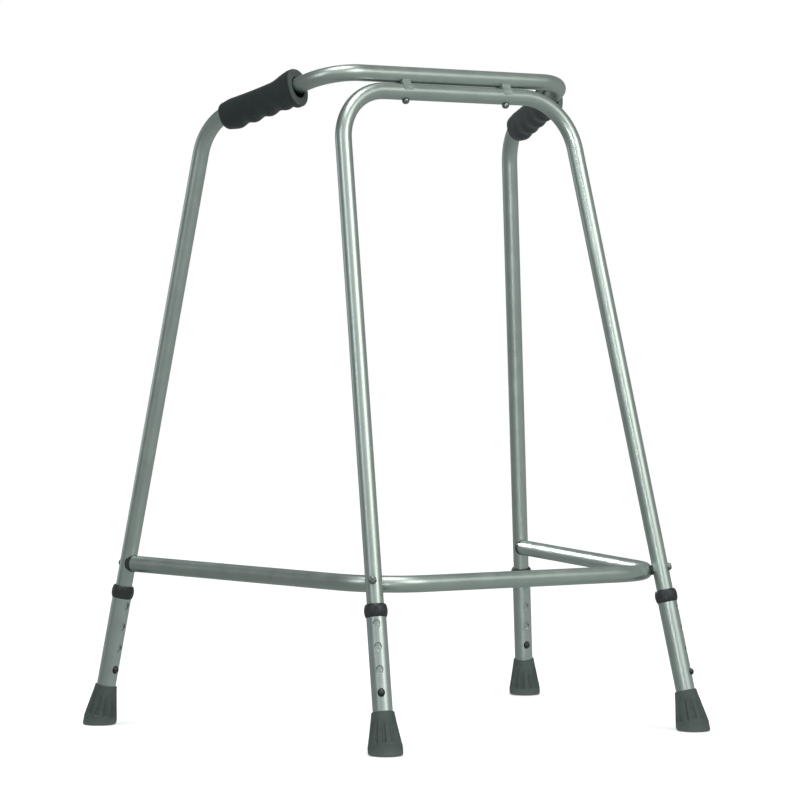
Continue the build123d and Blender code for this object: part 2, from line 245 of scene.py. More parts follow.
def skin(name, rings, wrapped=False):
    """A smooth mesh through closed rings of points, capped at its ends or joined back on itself.
    Its UV map is in metres: round the rings and along them."""
    rings = np.asarray(rings, float)
    count, around = rings.shape[:2]
    index = np.arange(count * around).reshape(count, around)
    beside = np.roll(index, -1, axis=1)
    girth = np.linalg.norm(np.roll(rings, -1, axis=1) - rings, axis=2).sum(axis=1).max()
    steps = np.linalg.norm(np.roll(rings, -1, axis=0)[:, 0] - rings[:, 0], axis=1)
    length = np.concatenate([[0], np.cumsum(steps)])
    across = np.arange(around + 1) * girth / around
    faces, corners = [], []
    for i in range(count if wrapped else count - 1):
        j = (i + 1) % count
        faces += np.stack([index[i], beside[i], beside[j], index[j]], axis=1).tolist()
        for k in range(around):
            corners += [
                (across[k], length[i]),
                (across[k + 1], length[i]),
                (across[k + 1], length[i + 1]),
                (across[k], length[i + 1]),
            ]
    if not wrapped:
        faces += [index[0][::-1].tolist(), index[-1].tolist()]
        corners += [(0, 0)] * around + [(0, length[count - 1])] * around
    mesh = bpy.data.meshes.new(name)
    mesh.from_pydata(rings.reshape(-1, 3).tolist(), [], faces)
    mesh.uv_layers.new(name="surface").data.foreach_set("uv", np.array(corners).ravel())
    return piece_of(name, mesh)


def piece_of(name, mesh):
    """A new object of this mesh, smooth apart from its sharp edges."""
    mesh.validate()
    mesh.shade_smooth()
    mesh.set_sharp_from_angle(angle=SHARP_ANGLE)
    piece = bpy.data.objects.new(name, mesh)
    bpy.context.scene.collection.objects.link(piece)
    return piece


def lathe(profile, segments):
    """Rings of (radius, height) points about +Z."""
    turn = np.linspace(0, 2 * pi, segments, endpoint=False)
    circle = np.stack([np.cos(turn), np.sin(turn)], axis=1)
    return np.array([np.c_[circle * radius, np.full(segments, height)] for radius, height in profile])


def moved(rings, matrix):
    """Rings of local points, moved by a matrix."""
    linear = np.array(matrix.to_3x3())
    return rings @ linear.T + np.array(matrix.translation)


def aimed(origin, direction):
    """A matrix that puts local +Z along a direction, at an origin."""
    turn = direction.to_track_quat("Z", "Y").to_matrix().to_4x4()
    return Matrix.Translation(origin) @ turn


def cut(piece, cutters):
    """Takes the cutters out of a piece, and removes them."""
    for cutter in cutters:
        modifier = piece.modifiers.new(cutter.name, "BOOLEAN")
        modifier.operation = "DIFFERENCE"
        modifier.solver = "EXACT"
        modifier.object = cutter
    graph = bpy.context.evaluated_depsgraph_get()
    mesh = bpy.data.meshes.new_from_object(piece.evaluated_get(graph))
    piece.modifiers.clear()
    piece.data = mesh
    mesh.shade_smooth()
    mesh.set_sharp_from_angle(angle=SHARP_ANGLE)
    for cutter in cutters:
        bpy.data.objects.remove(cutter)


def drill(origin, direction, radius, length):
    """A round cutter from an origin, this far along a direction."""
    rings = lathe([(radius, 0), (radius, length)], 40)
    return skin("drill", moved(rings, aimed(origin, direction)))


def smooth(value):
    """Eases a share from 0 to 1."""
    value = min(max(value, 0), 1)
    return value * value * (3 - 2 * value)


def bent_path(corners, bends):
    """Stations along straight runs and arcs: point, tangent, direction to the bend's centre or
    None, and how far into the bend, from 0 at its ends to 1 at its middle."""
    run_step, arc_steps = 0.03, 22
    stations = []

    def add_run(start, end):
        steps = max(1, round((end - start).length / run_step))
        way = (end - start).normalized()
        stations.extend((start.lerp(end, i / steps), way, None, 0.0) for i in range(steps))

    here = corners[0]
    for before, corner, after, radius in zip(corners, corners[1:], corners[2:], bends):
        way_in = (corner - before).normalized()
        way_out = (after - corner).normalized()
        angle = way_in.angle(way_out)
        inward = (way_out - way_in * way_out.dot(way_in)).normalized()
        arc_start = corner - way_in * radius * tan(angle / 2)
        centre = arc_start + inward * radius
        add_run(here, arc_start)
        for i in range(arc_steps):
            turn = angle * i / arc_steps
            toward = inward * cos(turn) - way_in * sin(turn)
            tangent = way_in * cos(turn) + inward * sin(turn)
            stations.append((centre - toward * radius, tangent, toward, sin(pi * i / arc_steps)))
        here = corner + way_out * radius * tan(angle / 2)
    add_run(here, corners[-1])
    stations.append((corners[-1], stations[-1][1], None, 0.0))
    return stations


def bent_rings(corners, bends, radius, segments=72):
    """Round sections along a bent path, slightly flattened in its bends as drawn tube is."""
    stations = bent_path(corners, bends)
    tangent = stations[0][1]
    normal = tangent.orthogonal().normalized()
    turns = np.linspace(0, 2 * pi, segments, endpoint=False)
    rings = []
    for point, next_tangent, toward, share in stations:
        normal.rotate(tangent.rotation_difference(next_tangent))
        tangent = next_tangent
        side = tangent.cross(normal)
        offsets = radius * (np.outer(np.cos(turns), normal) + np.outer(np.sin(turns), side))
        if toward:
            offsets -= BEND_FLATTENING * share * np.outer(offsets @ np.array(toward), toward)
        rings.append(offsets + np.array(point))
    return np.array(rings)


def tube(name, corners, bends, radius, bore):
    """A bent tube with a wall, and eased rims at its two ends."""
    outside = bent_rings(corners, bends, radius)
    inside = bent_rings(corners, bends, bore)
    rims = []
    for end, beyond, corner in ((0, 1, corners[0]), (-1, -2, corners[-1])):
        centre = np.array(corner)
        way = outside[beyond].mean(axis=0) - centre
        rims.append(centre + (outside[end] - centre) * (radius - RIM) / radius)
        outside[end] += way * RIM / np.linalg.norm(way)
    rings = np.concatenate([rims[0][None], outside, rims[1][None], inside[::-1]])
    return skin(name, rings, wrapped=True)


def bar(corners, bends):
    """A solid of a tube's outside, to cut with."""
    return skin("bar", bent_rings(corners, bends, TUBE_R))


# ---------------------------------------------------------------- tubes

handle_corners = there_and_back([rear_line.along(TUBE_START), rear_top, handle_corner])
handle_bends = [REAR_TOP_BEND, HANDLE_CORNER_BEND, HANDLE_CORNER_BEND, REAR_TOP_BEND]
front_corners = there_and_back([front_line.along(TUBE_START), front_top])
brace_corners = there_and_back([brace_start, brace_corner])


def crossbar_drills(lift, radius, length):
    """Cutters at the two crossbar bolts, from above the lower bar's axis down along the bolts."""
    starts = [Vector((side * CROSSBAR_BOLT_X, front_top.y, front_top.z)) for side in SIDES.values()]
    return [drill(start + bar_up * lift, -bar_up, radius, length) for start in starts]


def brace_bolt_drills(end, reach):
    """Cutters along the brace's bolts through the two front or the two rear legs."""
    drills = []
    for side, sign in SIDES.items():
        leg = legs[f"{end}_{side}"]
        if end == "rear":
            centre = leg.at_height(BRACE_REAR_Z)
            out = -side_way
        else:
            centre = leg.at_height(BRACE_FRONT_Z) + leg.up * bolt_rise
            out = bolt_way
        out = on_side(out, sign)
        drills.append(drill(centre + out * 2 * TUBE_R, -out, BOLT_HOLE_R, reach))
    return drills


def button_drills(end):
    """Cutters at the snap buttons of the two front or the two rear legs."""
    pair = [legs[f"{end}_{side}"] for side in SIDES]
    return [drill(leg.along(FIRST_HOLE), leg.out, BUTTON_HOLE_R, 2 * TUBE_R) for leg in pair]


def make_tubes():
    """The three bent tubes, with every hole they have."""
    handle = tube("handle_tube", handle_corners, handle_bends, TUBE_R, TUBE_BORE_R)
    through = 4 * TUBE_R
    cut(
        handle,
        button_drills("rear")
        + brace_bolt_drills("rear", through)
        + crossbar_drills(BAR_SPACING, INSERT_R, 2 * TUBE_R),
    )
    front = tube("front_tube", front_corners, [FRONT_TOP_BEND] * 2, TUBE_R, TUBE_BORE_R)
    cut(
        front,
        button_drills("front")
        + brace_bolt_drills("front", through)
        + crossbar_drills(2 * TUBE_R, BOLT_HOLE_R, through),
    )
    brace = tube("brace_tube", brace_corners, [BRACE_BEND] * 2, TUBE_R, TUBE_BORE_R)
    cut(brace, brace_bolt_drills("front", BRACE_FROM_LEG + 2 * TUBE_R))
    for piece, node in (
        (handle, "rear_handle_frame"),
        (front, "front_frame"),
        (brace, "lower_brace"),
    ):
        dress(piece, "frame", node, "satin_aluminium")


def make_extension(leg):
    """The larger tube that slides on a leg, with its row of height holes."""
    ends = [leg.along(EXTENSION_START), leg.along(EXTENSION_END)]
    extension = tube(f"extension_{leg.name}", ends, [], EXTENSION_R, EXTENSION_BORE_R)
    heights = [FIRST_HOLE + hole * HOLE_PITCH for hole in range(HOLE_COUNT)]
    cut(extension, [eased_drill(leg.along(height), leg.out) for height in heights])
    dress(extension, leg.body, f"leg_extension_{leg.name}", "leg_aluminium")


def eased_drill(origin, direction):
    """A cutter for a height hole, which eases the hole's outer edge."""
    wide = BUTTON_HOLE_R + 4 * HOLE_EASE
    profile = [
        (BUTTON_HOLE_R, 0),
        (BUTTON_HOLE_R, EXTENSION_R - 3 * HOLE_EASE),
        (wide, EXTENSION_R + HOLE_EASE),
        (wide, 2 * EXTENSION_R),
    ]
    return skin("drill", moved(lathe(profile, 48), aimed(origin, direction)))


# ---------------------------------------------------------------- collars, ferrules and springs


def make_collar(leg):
    """A barrel-shaped plastic collar, which caps the extension's end and guides the tube in it."""
    middle = (COLLAR_START + COLLAR_END) / 2
    half = (COLLAR_END - COLLAR_START) / 2
    guide = TUBE_R + GUIDE_CLEARANCE
    profile = [(EXTENSION_R, COLLAR_START), (COLLAR_EDGE_R - COLLAR_EASE, COLLAR_START)]
    for share in np.linspace(-1, 1, 25):
        bulge = (COLLAR_R - COLLAR_EDGE_R) * (1 - abs(share) ** COLLAR_FULLNESS)
        profile.append((COLLAR_EDGE_R + bulge, middle + share * (half - COLLAR_EASE)))
    profile += [
        (COLLAR_EDGE_R - COLLAR_EASE, COLLAR_END),
        (guide + COLLAR_EASE, COLLAR_END),
        (guide, COLLAR_END - COLLAR_EASE),
        (guide, EXTENSION_END),
        (EXTENSION_R, EXTENSION_END),
    ]
    collar = skin(f"collar_{leg.name}", moved(lathe(profile, 72), leg.matrix), wrapped=True)
    dress(collar, leg.body, f"leg_collar_{leg.name}", "black_collar")


def ferrule_radius(height, turn):
    """The ferrule's outside: a bell over a straight band, with flutes let into the bell."""
    share = min(max((height - FERRULE_BAND) / (FERRULE_TOP - FERRULE_BAND), 0), 1)
    bell = (1 - share) ** 1.15 * (1 + 0.12 * share)
    radius = FERRULE_TOP_R + (FERRULE_R - FERRULE_TOP_R) * bell
    inside = smooth(min((height - FLUTE_START) / FLUTE_RISE, (FLUTE_END - height) / FLUTE_FADE))
    groove = max(cos(FLUTE_COUNT * turn), 0) ** 0.6
    return radius - FLUTE_DEPTH * inside * groove * (0.45 + 0.55 * bell)


def make_ferrule(leg):
    """A fluted rubber foot, cut level with the floor."""
    segments = 24 * FLUTE_COUNT
    turns = np.linspace(0, 2 * pi, segments, endpoint=False)
    heights = np.concatenate(
        [
            np.linspace(0.0, FERRULE_BAND, 4)[1:-1],
            np.linspace(FERRULE_BAND, FLUTE_START, 4)[:-1],
            np.linspace(FLUTE_START, FLUTE_START + FLUTE_RISE, 5)[:-1],
            np.linspace(FLUTE_START + FLUTE_RISE, FERRULE_TOP - FERRULE_LIP, 26),
        ]
    )
    axes = np.array(leg.matrix.to_3x3())
    lean = (np.outer(np.cos(turns), axes[:, 0]) + np.outer(np.sin(turns), axes[:, 1]))[:, 2]

    def floor_height(radius):
        """Height along the leg at which this radius meets the floor, all round."""
        return -radius * lean / leg.up.z

    def ring(radius, height):
        radius = np.broadcast_to(radius, segments)
        return np.c_[np.cos(turns) * radius, np.sin(turns) * radius, np.broadcast_to(height, segments)]

    sole = [(SOLE_CENTRE_R, 0)]
    for inner, outer in TREAD_RINGS:
        sole += [(inner - TREAD_SLOPE, 0), (inner, TREAD_DEPTH)]
        sole += [(outer, TREAD_DEPTH), (outer + TREAD_SLOPE, 0)]
    sole.append((FERRULE_R - SOLE_EDGE, 0))
    rings = [ring(radius, floor_height(radius) + depth) for radius, depth in sole]
    for turn in (30, 60, 90):
        inset = SOLE_EDGE * (1 - sin(radians(turn)))
        rise = SOLE_EDGE * (1 - cos(radians(turn)))
        rings.append(ring(FERRULE_R - inset, floor_height(FERRULE_R - inset) + rise))
    edge_height = floor_height(FERRULE_R) + SOLE_EDGE
    for height in heights:
        share = height / FERRULE_BAND
        level = height if share >= 1 else edge_height + (FERRULE_BAND - edge_height) * share
        radius = [ferrule_radius(max(height, 0), turn) for turn in turns]
        rings.append(ring(np.array(radius), level))
    rings += [
        ring(FERRULE_TOP_R - 0.3 * FERRULE_LIP, FERRULE_TOP - 0.3 * FERRULE_LIP),
        ring(FERRULE_TOP_R - FERRULE_LIP, FERRULE_TOP),
        ring(EXTENSION_R + 0.4 * FERRULE_LIP, FERRULE_TOP),
        ring(EXTENSION_R, FERRULE_TOP - 0.4 * FERRULE_LIP),
        ring(EXTENSION_R, FERRULE_FLOOR),
        ring(SOLE_CENTRE_R, FERRULE_FLOOR),
    ]
    ferrule = skin(f"foot_{leg.name}", moved(np.array(rings), leg.matrix))
    dress(ferrule, leg.body, f"ferrule_{leg.name}", "grey_rubber")


def make_leaf_spring(leg):
    """The button's folded leaf, which on the real frame closes up against the tube's far wall as the stud
    goes in; here it is a rigid copy of its CAD node.
    """
    node = f"button_spring_{leg.name}"
    spring = bpy.data.objects.new(f"leaf_spring_{leg.name}", frame["nodes"][node].data.copy())
    bpy.context.scene.collection.objects.link(spring)
    dress(spring, "frame", node, "spring_steel")
    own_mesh(spring)


# ---------------------------------------------------------------- handgrips


def grip_section(distance):
    """Half width, height above the bar's axis and depth below it, part way along a grip."""
    body = GRIP_LENGTH - FLANGE_THICKNESS
    flare = smooth((distance - FLARE_START) / (body - FLARE_START)) ** 1.4
    rounding = 1 - smooth(distance / FIRST_CREST)
    waist = WAIST * sin(pi * min(distance / body, 1))
    past_crest = max(distance - FIRST_CREST, 0)
    fingers = FINGER_DEPTH * (1 - cos(2 * pi * past_crest / FINGER_PITCH)) / 2
    half_width = GRIP_HALF_WIDTH - waist / 2 + FLARE_SIDEWAYS * flare
    above = GRIP_ABOVE - waist - END_DROOP * rounding + FLARE_UPWARD * flare
    return half_width, above, GRIP_BELOW - fingers - END_RISE * rounding


def oval(half_width, above, below, turns):
    """An egg-shaped ring, a little squarer than an ellipse."""
    x = np.sign(np.cos(turns)) * np.abs(np.cos(turns)) ** GRIP_SQUARENESS * half_width
    height = np.where(np.sin(turns) > 0, above, below)
    y = np.sign(np.sin(turns)) * np.abs(np.sin(turns)) ** GRIP_SQUARENESS * height
    return np.c_[x, y]


def make_grip(side, sign):
    """A moulded handgrip: four finger grooves below, and an oval flange in front."""
    rear = on_side(rear_top, sign)
    forward = (on_side(handle_corner, sign) - rear).normalized()
    sideways = Vector((0, 0, 1)).cross(forward).normalized()
    upward = forward.cross(sideways)
    axes = Matrix((sideways, upward, forward)).transposed()
    matrix = Matrix.Translation(rear + forward * GRIP_START) @ axes.to_4x4()
    turns = np.linspace(0, 2 * pi, 120, endpoint=False)
    body = GRIP_LENGTH - FLANGE_THICKNESS
    rings = []

    def add_ring(scale_x, scale_y, section, distance):
        half_width, above, below = section
        outline = oval(half_width * scale_x, above * scale_y, below * scale_y, turns)
        rings.append(np.c_[outline, np.full(len(turns), distance)])

    start = grip_section(END_EDGE)
    for share in (0.02, 0.4, 0.8):
        add_ring(share * 0.77, share * 0.82, start, 0)
    for turn in np.linspace(0, 75, 6):
        inset = END_EDGE * (1 - sin(radians(turn)))
        fall = END_EDGE * (1 - cos(radians(turn)))
        half_width, above, below = grip_section(fall)
        add_ring(1, 1, (half_width - inset, above - inset, below - inset), fall)
    for distance in np.linspace(END_EDGE, body, 96):
        add_ring(1, 1, grip_section(distance), distance)
    flange = (FLANGE_HALF_WIDTH, FLANGE_ABOVE, FLANGE_BELOW)
    for turn in np.linspace(0, 90, 6):
        inset = FLANGE_BACK_EDGE * (1 - sin(radians(turn)))
        rise = FLANGE_BACK_EDGE * (1 - cos(radians(turn)))
        add_ring(1, 1, tuple(size - inset for size in flange), body + rise)
    for turn in np.linspace(0, 90, 8):
        inset = FLANGE_FRONT_EDGE * (1 - cos(radians(turn)))
        rise = FLANGE_FRONT_EDGE * (1 - sin(radians(turn)))
        add_ring(1, 1, tuple(size - inset for size in flange), GRIP_LENGTH - rise)
    for share in (0.8, 0.4, 0.02):
        add_ring(share * 0.85, share * 0.88, flange, GRIP_LENGTH)
    grip = skin(f"grip_{side}", moved(np.array(rings), matrix))

    mouth = []
    inner = TUBE_R + MOUTH_CLEARANCE
    outer = inner + MOUTH_EASE
    mouth_steps = (
        (-MOUTH_DEPTH, inner),
        (-2 * MOUTH_EASE, inner),
        (0.4 * MOUTH_EASE, outer),
        (8 * MOUTH_EASE, outer),
    )
    for distance, radius in mouth_steps:
        outline = oval(radius, radius, radius + MOUTH_DROP, turns)
        mouth.append(np.c_[outline, np.full(len(turns), GRIP_LENGTH + distance)])
    cut(grip, [bar(handle_corners, handle_bends), skin("mouth", moved(np.array(mouth), matrix))])
    dress(grip, "frame", f"handgrip_{side}", "slate_grip")


# ---------------------------------------------------------------- materials


def set_range(node, low, high, out_low, out_high):
    """Sets a Map Range node's two ranges."""
    node.inputs["From Min"].default_value = low
    node.inputs["From Max"].default_value = high
    node.inputs["To Min"].default_value = out_low
    node.inputs["To Max"].default_value = out_high


class Finish:
    """A procedural material under construction: a Principled shader and the nodes that feed it."""

    def __init__(self, name):
        self.material = bpy.data.materials.new(name)
        self.material.use_nodes = True
        self.tree = self.material.node_tree
        self.shader = self.tree.nodes["Principled BSDF"]

    def node(self, kind, settings=None, **inputs):
        """A node with these settings, its inputs set or linked by name."""
        made = self.tree.nodes.new(kind)
        for name, value in (settings or {}).items():
            setattr(made, name, value)
        for name, value in inputs.items():
            self.feed(made.inputs[name.replace("_", " ")], value)
        return made

    def feed(self, socket, value):
        """Links a socket to a node's output, or sets it to a plain value."""
        if isinstance(value, bpy.types.NodeSocket):
            self.tree.links.new(value, socket)
        else:
            socket.default_value = value

    def set(self, name, value):
        """Feeds one of the shader's own inputs."""
        self.feed(self.shader.inputs[name], value)

    def surface(self, across, along):
        """The mesh's own UV map, scaled round and along the piece."""
        uv = self.node("ShaderNodeUVMap", {"uv_map": "surface"}).outputs[0]
        return self.node("ShaderNodeMapping", Vector=uv, Scale=(across, along, 1)).outputs[0]

    def local(self, scale=1.0):
        """Coordinates in the piece's own space, in metres before scaling."""
        place = self.node("ShaderNodeTexCoord").outputs["Object"]
        return self.node("ShaderNodeMapping", Vector=place, Scale=(scale,) * 3).outputs[0]

    def noise(self, vector, scale, detail=3.0, rough=0.5):
        """Cloudy noise, mostly between 0.3 and 0.7."""
        made = self.node("ShaderNodeTexNoise", Vector=vector, Scale=scale, Detail=detail, Roughness=rough)
        return made.outputs["Fac"]

    def spread(self, value, low, high, out_low=0.0, out_high=1.0):
        """A value taken from one range to another, held inside it."""
        made = self.node("ShaderNodeMapRange", Value=value)
        set_range(made, low, high, out_low, out_high)
        return made.outputs[0]

    def mixed(self, share, first, second):
        """Two colours mixed by a share."""
        made = self.node("ShaderNodeMix", {"data_type": "RGBA"})
        self.feed(made.inputs["Factor"], share)
        self.feed(made.inputs["A"], (*first, 1) if isinstance(first, tuple) else first)
        self.feed(made.inputs["B"], (*second, 1) if isinstance(second, tuple) else second)
        return made.outputs["Result"]

    def maths(self, operation, first, second):
        """Two values added, multiplied and so on."""
        made = self.node("ShaderNodeMath", {"operation": operation})
        self.feed(made.inputs[0], first)
        self.feed(made.inputs[1], second)
        return made.outputs[0]

    def bumps(self, *layers):
        """Bumps laid one on another, each a height and a depth in metres."""
        normal = None
        for height, depth in layers:
            made = self.node("ShaderNodeBump", Height=height, Distance=depth)
            made.inputs["Strength"].default_value = 1.0
            if normal:
                self.feed(made.inputs["Normal"], normal)
            normal = made.outputs[0]
        self.set("Normal", normal)


def aluminium(name, tint, dull, wear):
    """Satin anodised tube: draw lines along it, cloudy anodising, and light rubbing."""
    made = Finish(name)
    draw_lines = made.noise(made.surface(1, 0.012), 5200, 4, 0.6)
    broad_lines = made.noise(made.surface(1, 0.02), 900, 3, 0.55)
    clouds = made.noise(made.local(), 38, 4, 0.6)
    scuffs = made.spread(made.noise(made.surface(0.35, 1), 650, 5, 0.7), 0.62, 0.74)
    scuff_patches = made.spread(made.noise(made.local(), 22, 2), 0.50, 0.68)
    scuffs = made.maths("MULTIPLY", scuffs, scuff_patches)
    colour = made.mixed(made.spread(clouds, 0.3, 0.7), tuple(0.90 * c for c in tint), tint)
    colour = made.mixed(made.spread(broad_lines, 0.35, 0.65, 0, 0.35), colour, tuple(0.80 * c for c in tint))
    colour = made.mixed(made.maths("MULTIPLY", scuffs, wear), colour, tuple(0.62 * c for c in tint))
    made.set("Base Color", colour)
    made.set("Metallic", 1.0)
    rough = made.spread(draw_lines, 0.3, 0.7, dull - 0.05, dull + 0.06)
    rough = made.maths("ADD", rough, made.spread(clouds, 0.3, 0.7, -0.03, 0.04))
    rough = made.maths("ADD", rough, made.maths("MULTIPLY", scuffs, 0.15 * wear))
    made.set("Roughness", rough)
    made.bumps((draw_lines, 0.000004), (broad_lines, 0.00001), (scuffs, -0.00001))
    return made.material


def rubber(name):
    """Moulded grey rubber with a fine grain, rubbed pale and dusty towards the floor."""
    made = Finish(name)
    grain = made.noise(made.local(), 1400, 4, 0.65)
    clouds = made.noise(made.local(), 70, 4, 0.6)
    flecks = made.spread(made.noise(made.local(), 520, 3, 0.7), 0.60, 0.70)
    place = made.node("ShaderNodeTexCoord").outputs["Object"]
    height = made.node("ShaderNodeSeparateXYZ", Vector=place).outputs["Z"]
    ragged = made.maths("ADD", height, made.spread(clouds, 0.3, 0.7, -0.004, 0.004))
    dust = made.spread(ragged, 0.001, 0.011, 0.55, 0.0)
    colour = made.mixed(made.spread(clouds, 0.3, 0.7), (0.040, 0.054, 0.050), (0.060, 0.078, 0.072))
    colour = made.mixed(dust, colour, (0.11, 0.125, 0.118))
    colour = made.mixed(made.maths("MULTIPLY", flecks, 0.35), colour, (0.11, 0.13, 0.122))
    made.set("Base Color", colour)
    made.set("Roughness", made.spread(clouds, 0.3, 0.7, 0.56, 0.70))
    made.set("Specular IOR Level", 0.42)
    made.bumps((grain, 0.00006), (clouds, 0.00010))
    return made.material


def grip_plastic(name):
    """Slate moulded grip with a fine leather-like grain, and a front face painted paler as painted light,
    where the light falls on it.
    """
    made = Finish(name)
    cells = made.node("ShaderNodeTexVoronoi", {"feature": "SMOOTH_F1"}, Vector=made.local(), Scale=900.0)
    grain = made.noise(made.local(), 2200, 3, 0.6)
    clouds = made.noise(made.local(), 60, 4, 0.6)
    # Painted light: the grip's front face is painted paler, standing in for the light that falls on it.
    along = made.node("ShaderNodeSeparateXYZ", Vector=made.surface(1, 1)).outputs["Y"]
    ragged = made.maths("ADD", along, made.spread(clouds, 0.3, 0.7, -0.0008, 0.0008))
    painted_light_face = made.spread(ragged, GRIP_PAINTED_LIGHT_START, GRIP_PAINTED_LIGHT_START + 0.002)
    colour = made.mixed(made.spread(clouds, 0.3, 0.7), (0.0075, 0.0115, 0.013), (0.0125, 0.0185, 0.021))
    cell_share = made.spread(cells.outputs["Distance"], 0.1, 0.6, 0, 0.4)
    colour = made.mixed(cell_share, colour, (0.021, 0.029, 0.032))
    # Painted light: the paler colour of the lit front face.
    colour = made.mixed(painted_light_face, colour, (0.066, 0.082, 0.080))
    made.set("Base Color", colour)
    made.set("Roughness", made.spread(clouds, 0.3, 0.7, 0.46, 0.60))
    made.set("Specular IOR Level", 0.38)
    made.set("Sheen Weight", 0.06)
    made.set("Sheen Roughness", 0.5)
    made.bumps((cells.outputs["Distance"], 0.00012), (grain, 0.00003))
    return made.material


def hard_plastic(name, tint, gloss):
    """Moulded plastic with a faint orange-peel surface and fine scratches."""
    made = Finish(name)
    peel = made.noise(made.local(), 650, 2)
    clouds = made.noise(made.local(), 90, 3)
    scratches = made.spread(made.noise(made.local(), 1700, 5, 0.75), 0.60, 0.72)
    lighter = tuple(1.5 * c + 0.01 for c in tint)
    colour = made.mixed(made.spread(clouds, 0.3, 0.7, 0, 0.5), tint, lighter)
    colour = made.mixed(made.maths("MULTIPLY", scratches, 0.3), colour, tuple(2 * c for c in lighter))
    made.set("Base Color", colour)
    made.set("Roughness", made.spread(clouds, 0.3, 0.7, gloss - 0.06, gloss + 0.08))
    made.bumps((peel, 0.00004), (scratches, -0.00002))
    return made.material


def milky_plastic(name):
    """Natural moulded plastic that lets a little light through."""
    made = Finish(name)
    peel = made.noise(made.local(), 500, 2)
    clouds = made.noise(made.local(), 160, 4)
    colour = made.mixed(made.spread(clouds, 0.3, 0.7), (0.19, 0.22, 0.21), (0.25, 0.285, 0.27))
    made.set("Base Color", colour)
    made.set("Roughness", made.spread(peel, 0.3, 0.7, 0.34, 0.48))
    made.set("Subsurface Weight", 0.25)
    made.set("Subsurface Radius", (0.004, 0.004, 0.004))
    made.set("Subsurface Scale", 1.0)
    made.bumps((peel, 0.00005))
    return made.material


def steel(name, tint, dull):
    """Plated steel with a fine crystalline surface and darker specks."""
    made = Finish(name)
    crystals = made.node("ShaderNodeTexVoronoi", Vector=made.local(), Scale=1500.0)
    clouds = made.noise(made.local(), 220, 4, 0.6)
    specks = made.spread(made.noise(made.local(), 1300, 4, 0.7), 0.62, 0.70)
    colour = made.mixed(made.spread(clouds, 0.3, 0.7), tuple(0.75 * c for c in tint), tint)
    colour = made.mixed(made.maths("MULTIPLY", specks, 0.5), colour, tuple(0.4 * c for c in tint))
    made.set("Base Color", colour)
    made.set("Metallic", 1.0)
    made.set("Roughness", made.spread(clouds, 0.3, 0.7, dull - 0.06, dull + 0.1))
    made.bumps((crystals.outputs["Distance"], 0.00001), (clouds, 0.00003))
    return made.material


FINISHES = {
    "satin_aluminium": aluminium("satin_aluminium", (0.56, 0.62, 0.59), 0.37, 0.5),
    "leg_aluminium": aluminium("leg_aluminium", (0.60, 0.66, 0.64), 0.38, 0.9),
    "grey_rubber": rubber("grey_rubber"),
    "slate_grip": grip_plastic("slate_grip"),
    "black_collar": hard_plastic("black_collar", (0.012, 0.016, 0.017), 0.42),
    "black_plastic": hard_plastic("black_plastic", (0.012, 0.014, 0.015), 0.45),
    "pale_plastic": milky_plastic("pale_plastic"),
    "zinc_steel": steel("zinc_steel", (0.30, 0.33, 0.32), 0.27),
    "button_steel": steel("button_steel", (0.09, 0.10, 0.10), 0.38),
    "spring_steel": steel("spring_steel", (0.40, 0.41, 0.40), 0.30),
}


def paint(piece, slot):
    """Gives a piece the finish of its material slot."""
    piece.data.materials.clear()
    piece.data.materials.append(FINISHES[slot])


def dress(piece, body, node, slot):
    """Puts a piece on its body, in its finish, in place of its CAD node."""
    paint(piece, slot)
    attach(piece, body)
    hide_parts(node)


# ---------------------------------------------------------------- stage, light and camera

FLOOR_R = 9.0
DOME_R = 9.5
DOME_DROP = 0.1


def area_light(name, place, target, size, power, tint=(1, 1, 1), spread=180):
    """A soft rectangular light, aimed at a point. A grid on it narrows its spread, in degrees."""
    lamp = bpy.data.lights.new(name, "AREA")
    lamp.shape = "RECTANGLE"
    lamp.size, lamp.size_y = size
    lamp.energy = power
    lamp.color = tint
    lamp.spread = radians(spread)
    light = bpy.data.objects.new(name, lamp)
    bpy.context.scene.collection.objects.link(light)
    light.location = place
    light.rotation_euler = (Vector(target) - Vector(place)).to_track_quat("-Z", "Y").to_euler()
    light.visible_camera = False


def flat_finish(name, colour, emission=0.0):
    """A plain stage surface."""
    made = Finish(name)
    mottle = made.noise(made.local(), 3.0, 3)
    made.set("Base Color", made.mixed(made.spread(mottle, 0.3, 0.7), colour, tuple(0.98 * c for c in colour)))
    made.set("Roughness", 0.9)
    made.set("Specular IOR Level", 0.1)
    if emission:
        made.set("Emission Color", (1, 1, 1, 1))
        made.set("Emission Strength", emission)
    return made.material


def make_stage():
    """A pale floor that stays under the lowest foot, and a white backdrop that only the camera sees."""
    floor = skin("floor", lathe([(FLOOR_R, -0.02), (FLOOR_R, -0.0004)], 96))
    floor.data.materials.append(flat_finish("pale_floor", (0.88, 0.88, 0.88), 0.42))
    floor.visible_glossy = False
    for leg in legs.values():
        stop = floor.constraints.new("FLOOR")
        stop.name = f"under_{leg.name}"
        stop.target = frame["bodies"][leg.body]
        stop.floor_location = "FLOOR_NEGATIVE_Z"
    climb = np.linspace(0, pi / 2 - 0.01, 16)
    dome_profile = [(DOME_R * cos(angle), DOME_R * sin(angle) - DOME_DROP) for angle in climb]
    backdrop = skin("backdrop", lathe(dome_profile, 64))
    backdrop.data.materials.append(flat_finish("white_backdrop", (0.0, 0.0, 0.0), 1.0))
    for ray in ("diffuse", "glossy", "transmission", "shadow", "volume_scatter"):
        setattr(backdrop, f"visible_{ray}", False)


